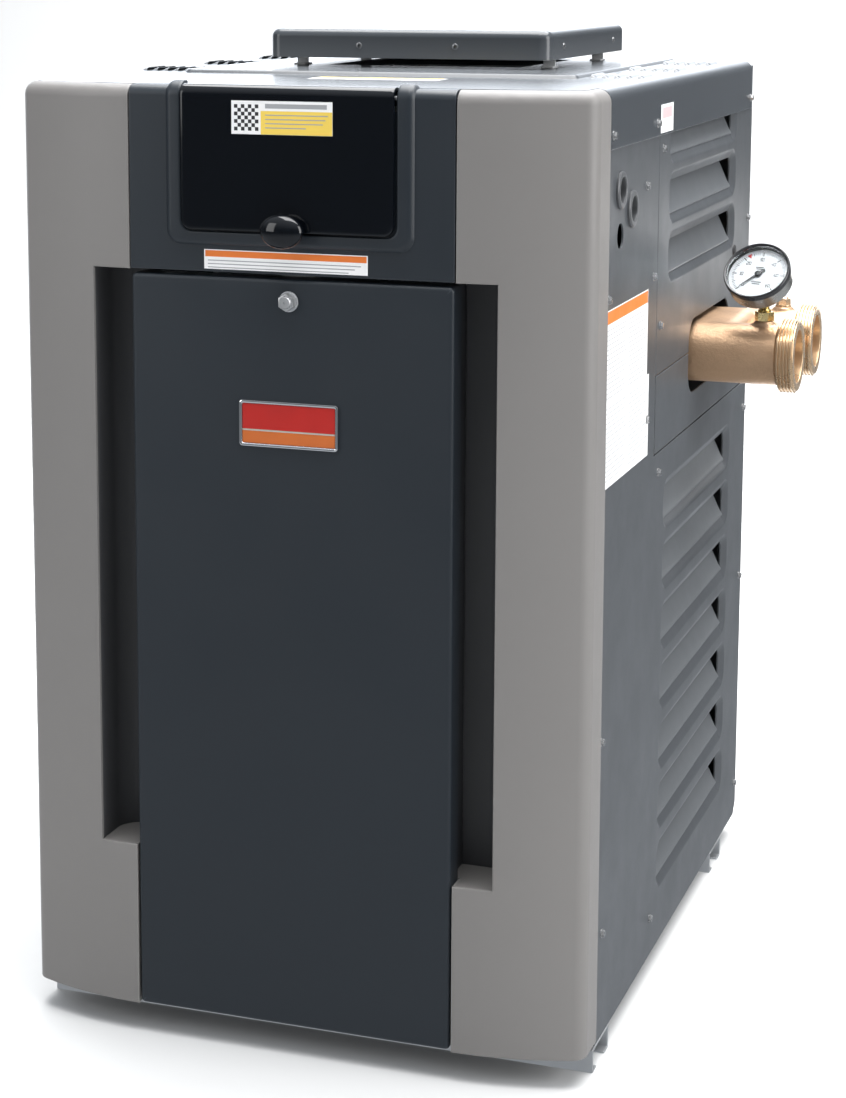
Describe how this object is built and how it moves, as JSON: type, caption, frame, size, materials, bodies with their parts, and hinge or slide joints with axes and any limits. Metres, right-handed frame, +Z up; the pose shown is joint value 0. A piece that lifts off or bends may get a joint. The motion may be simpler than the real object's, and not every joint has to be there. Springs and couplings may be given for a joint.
{
  "type": "gas pool heater",
  "caption": "Upright gas pool heater with a bowed front, flip-up control cover, lift-off door, louvred sides, flat rain cap and side water ports with a gauge.",
  "frame": {"origin": "middle of the footprint, on the floor under the base rails", "axes": "+X to the right, towards the water ports; -Y is the front, with the flip cover and the door; +Z up"},
  "size_m": [0.632, 0.7384, 0.91],
  "materials": {
    "slate_paint": "satin powder coat",
    "front_paint": "satin powder coat, bluish charcoal",
    "column_paint": "satin warm grey with a fine metallic grain",
    "cover_plastic": "polished black",
    "zinc_steel": "zinc plated sheet and fasteners",
    "black_plastic": "moulded, matt",
    "badge_chrome": "bright rim",
    "badge_enamel": "red field over an orange band",
    "panel_film": "printed film",
    "display_pane": "grey-green display",
    "button_grey": "moulded key",
    "button_blue": "moulded key",
    "button_red": "moulded key",
    "circuit_board": "solder mask",
    "transformer_iron": "varnished laminations",
    "valve_alloy": "die cast",
    "black_pipe": "black iron pipe",
    "brass_parts": "turned",
    "burner_steel": "stainless, heat tinted",
    "refractory": "ceramic fibre board and ceramic",
    "copper_tubes": "finned copper",
    "cast_iron_parts": "as cast, painted",
    "bronze_casting": "cast bronze, machined faces",
    "gauge_black": "black case with a bright band",
    "gauge_white": "printed dial",
    "gauge_pointer": "black pointer",
    "gauge_glass": "clear lens"
  },
  "bodies": {
    "cabinet": {"base_rails": "zinc_steel", "base_pan": "slate_paint", "left_side_panel": "slate_paint", "right_side_panel": "slate_paint", "upper_louvre_panel": "slate_paint", "header_cover": "slate_paint", "rear_panel": "slate_paint", "top_cover": "slate_paint", "vent_cap": "slate_paint", "cap_legs": "zinc_steel", "left_column": "column_paint", "right_column": "column_paint", "control_fascia": "front_paint", "cover_hinge_pin": "zinc_steel", "screw_receiver": "zinc_steel", "cabinet_screws": "zinc_steel", "conduit_grommets": "black_plastic", "control_tray": "zinc_steel", "control_panel": "panel_film", "display_window": "display_pane", "control_board": "circuit_board", "transformer": "transformer_iron", "junction_box": "zinc_steel", "terminal_block": "black_plastic", "gas_valve": "valve_alloy", "gas_inlet_pipe": "black_pipe", "gas_manifold": "black_pipe", "gas_orifices": "brass_parts", "burner_tray": "zinc_steel", "burners": "burner_steel", "igniter": "refractory", "firebox": "zinc_steel", "refractory_panels": "refractory", "exchanger_tubes": "copper_tubes", "tube_sheets": "cast_iron_parts", "exchanger_baffles": "zinc_steel", "water_header": "bronze_casting", "return_header": "cast_iron_parts", "header_bolts": "zinc_steel", "header_plug": "bronze_casting", "bypass_spring": "zinc_steel", "pressure_switch": "black_plastic", "limit_switches": "black_plastic", "flue_collector": "zinc_steel", "gauge_elbow": "brass_parts", "gauge_case": "gauge_black", "gauge_dial": "gauge_white", "gauge_lens": "gauge_glass"},
    "flip_cover": {"flip_cover": "cover_plastic", "cover_knob": "cover_plastic"},
    "front_door": {"front_door": "front_paint", "badge_rim": "badge_chrome", "badge_plate": "badge_enamel"},
    "door_screw": {"door_screw": "zinc_steel"},
    "button_mode": {"button_mode": "button_grey"},
    "button_down": {"button_down": "button_blue"},
    "button_up": {"button_up": "button_red"},
    "gas_valve_knob": {"gas_valve_knob": "black_plastic"},
    "bypass_poppet": {"bypass_poppet": "brass_parts"},
    "gauge_needle": {"gauge_needle": "gauge_pointer"}
  },
  "joints": [
    {"name": "cover_hinge", "type": "hinge", "parent": "cabinet", "child": "flip_cover", "pos_m": [-0.048, -0.34175, 0.862], "axis": [-1, 0, 0], "range_deg": [0, 200]},
    {"name": "door_removal", "type": "slide", "parent": "cabinet", "child": "front_door", "axis": [0, -1, 0], "range_m": [0, 0.25]},
    {"name": "door_screw_turn", "type": "hinge", "parent": "front_door", "child": "door_screw", "pos_m": [-0.048, -0.34375, 0.686], "axis": [0, -1, 0], "continuous": true},
    {"name": "button_mode_press", "type": "slide", "parent": "cabinet", "child": "button_mode", "axis": [0, 1, 0], "range_m": [0, 0.001], "stiffness_N_per_m": 600, "springref_m": -0.0005},
    {"name": "button_down_press", "type": "slide", "parent": "cabinet", "child": "button_down", "axis": [0, 1, 0], "range_m": [0, 0.001], "stiffness_N_per_m": 600, "springref_m": -0.0005},
    {"name": "button_up_press", "type": "slide", "parent": "cabinet", "child": "button_up", "axis": [0, 1, 0], "range_m": [0, 0.001], "stiffness_N_per_m": 600, "springref_m": -0.0005},
    {"name": "gas_valve_turn", "type": "hinge", "parent": "cabinet", "child": "gas_valve_knob", "pos_m": [-0.068, -0.13575, 0.266], "axis": [0, -1, 0], "range_deg": [0, 90]},
    {"name": "bypass_lift", "type": "slide", "parent": "cabinet", "child": "bypass_poppet", "axis": [0, 1, 0], "range_m": [0, 0.008], "stiffness_N_per_m": 400, "springref_m": -0.002, "deforming": ["bypass_spring"]},
    {"name": "gauge_sweep", "type": "hinge", "parent": "cabinet", "child": "gauge_needle", "pos_m": [0.281, 0.10625, 0.652], "axis": [0.1034, 0.7359, -0.6691], "range_deg": [0, 270], "stiffness_Nm_per_rad": 0.0002}
  ]
}
